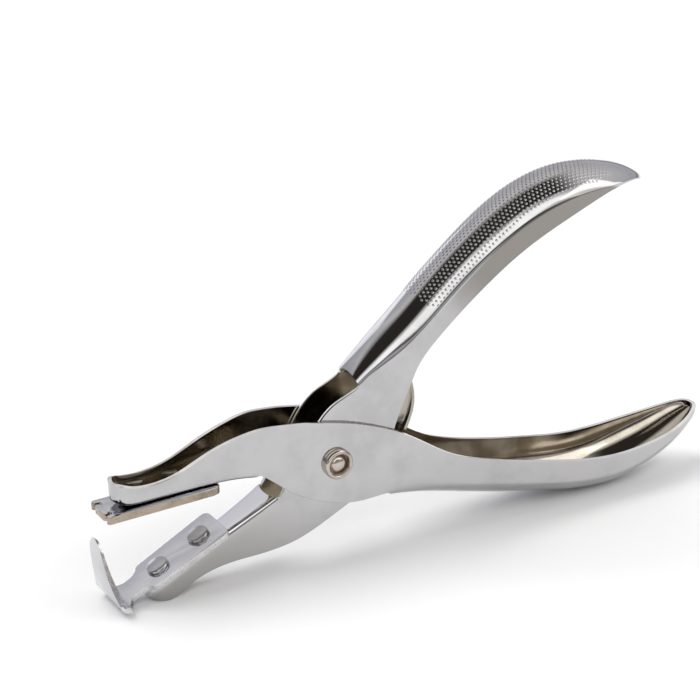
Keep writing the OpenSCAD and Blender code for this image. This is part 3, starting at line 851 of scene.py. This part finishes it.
def makeFloor(looks):
    clearSelection()
    bpy.ops.mesh.primitive_plane_add(size=looks["size"], location=(0, 0, cadLow.z - looks["gap"] * mm))
    floor = bpy.context.object
    floor.name = "studioFloor"
    material = bpy.data.materials.new("studioPaper")
    material.use_nodes = True
    tree = material.node_tree
    shader = tree.nodes["Principled BSDF"]
    shader.inputs["Roughness"].default_value = looks["roughness"]
    shader.inputs["Specular IOR Level"].default_value = looks["specular"]
    coords = tree.nodes.new("ShaderNodeTexCoord")
    grain = noiseNode(tree, coords.outputs["Object"], looks["grain"])
    shade = tuple(c * looks["grainShade"] for c in looks["colour"])
    tree.links.new(mixColours(tree, grain, looks["colour"], shade), shader.inputs["Base Color"])
    floor.data.materials.append(material)


def aimLamp(lamp, direction):
    lamp.rotation_mode = "QUATERNION"
    lamp.rotation_quaternion = direction.to_track_quat("-Z", "Y")


def addSun(name, looks):
    clearSelection()
    bpy.ops.object.light_add(type="SUN", location=place(*looks["seat"]))
    lamp = bpy.context.object
    lamp.name = name
    lamp.data.energy = looks["strength"]
    lamp.data.angle = math.radians(looks["angle"])
    lamp.visible_glossy = False  # the chrome mirrors the room and the softbox, not the sun
    aimLamp(lamp, -Vector(looks["towards"]))


def addSoftbox(name, looks):
    clearSelection()
    bpy.ops.object.light_add(type="AREA", location=place(*looks["seat"]))
    lamp = bpy.context.object
    lamp.name = name
    lamp.data.shape = "RECTANGLE"
    lamp.data.size, lamp.data.size_y = looks["size"]
    lamp.data.energy = looks["watts"]
    lamp.data.color = looks["colour"]
    aimLamp(lamp, place(*looks["target"]) - lamp.location)


room = {  # limits are on the x, y or z of a direction
    "wall": (0.55, 0.55, 0.60),
    "ceiling": {"z": (0.30, 0.85), "colour": (0.80, 0.79, 0.78)},
    "skirting": {"z": (0.22, 0.02), "colour": (0.22, 0.195, 0.17)},
    "backGlow": {"towards": (-0.05, 0.99, 0.10), "spread": (9.0, 15.0), "colour": (1.35, 1.35, 1.45)},
    "corner": {"x": (0.55, 0.20), "z": (0.26, 0.42)},
    "bands": [  # soft strips across that corner of the room
        {"from": (0.60, 0.36), "to": (-0.44, -0.30), "colour": (0.035, 0.031, 0.028)},
        {"from": (-0.44, -0.54), "to": (-0.84, -0.74), "colour": (1.6, 1.6, 1.56)},
        {"from": (-0.78, -0.86), "to": (-1.20, -1.10), "colour": (0.07, 0.06, 0.052)}],
    "strength": 1.08,
}


def makeRoom(looks):
    # a grey room, paler above and dark near the floor, with a glow at the back
    # and dark and pale strips across one corner
    world = bpy.data.worlds.new("studioRoom")
    bpy.context.scene.world = world
    world.use_nodes = True
    tree = world.node_tree
    background = tree.nodes["Background"]
    coords = tree.nodes.new("ShaderNodeTexCoord")
    direction = tree.nodes.new("ShaderNodeVectorMath")
    direction.operation = "NORMALIZE"
    tree.links.new(coords.outputs["Generated"], direction.inputs[0])
    x, y, z = separate(tree, direction.outputs[0])
    colour = looks["wall"]
    for part in ("ceiling", "skirting"):
        colour = mixColours(tree, softStep(tree, z, *looks[part]["z"]), colour, looks[part]["colour"])
    glow = looks["backGlow"]
    facing = tree.nodes.new("ShaderNodeVectorMath")
    facing.operation = "DOT_PRODUCT"
    tree.links.new(direction.outputs[0], facing.inputs[0])
    facing.inputs[1].default_value = Vector(glow["towards"]).normalized()
    inner, outer = (math.cos(math.radians(angle)) for angle in glow["spread"])
    colour = mixColours(tree, softStep(tree, facing.outputs["Value"], outer, inner), colour, glow["colour"])
    corner = mathNode(tree, "MULTIPLY", softStep(tree, x, *looks["corner"]["x"]),
                      softStep(tree, z, *looks["corner"]["z"]))
    for band in looks["bands"]:
        strip = mathNode(tree, "MULTIPLY", softStep(tree, y, *band["from"]), softStep(tree, y, *band["to"]))
        colour = mixColours(tree, mathNode(tree, "MULTIPLY", strip, corner), colour, band["colour"])
    tree.links.new(colour, background.inputs["Color"])
    background.inputs["Strength"].default_value = looks["strength"]


makeFloor(studio["floor"])
makeRoom(room)
addSun("keyLight", studio["sun"])
addSoftbox("fillSoftbox", studio["fill"])
bpy.context.scene.view_settings.view_transform = "Standard"
print("studio made")
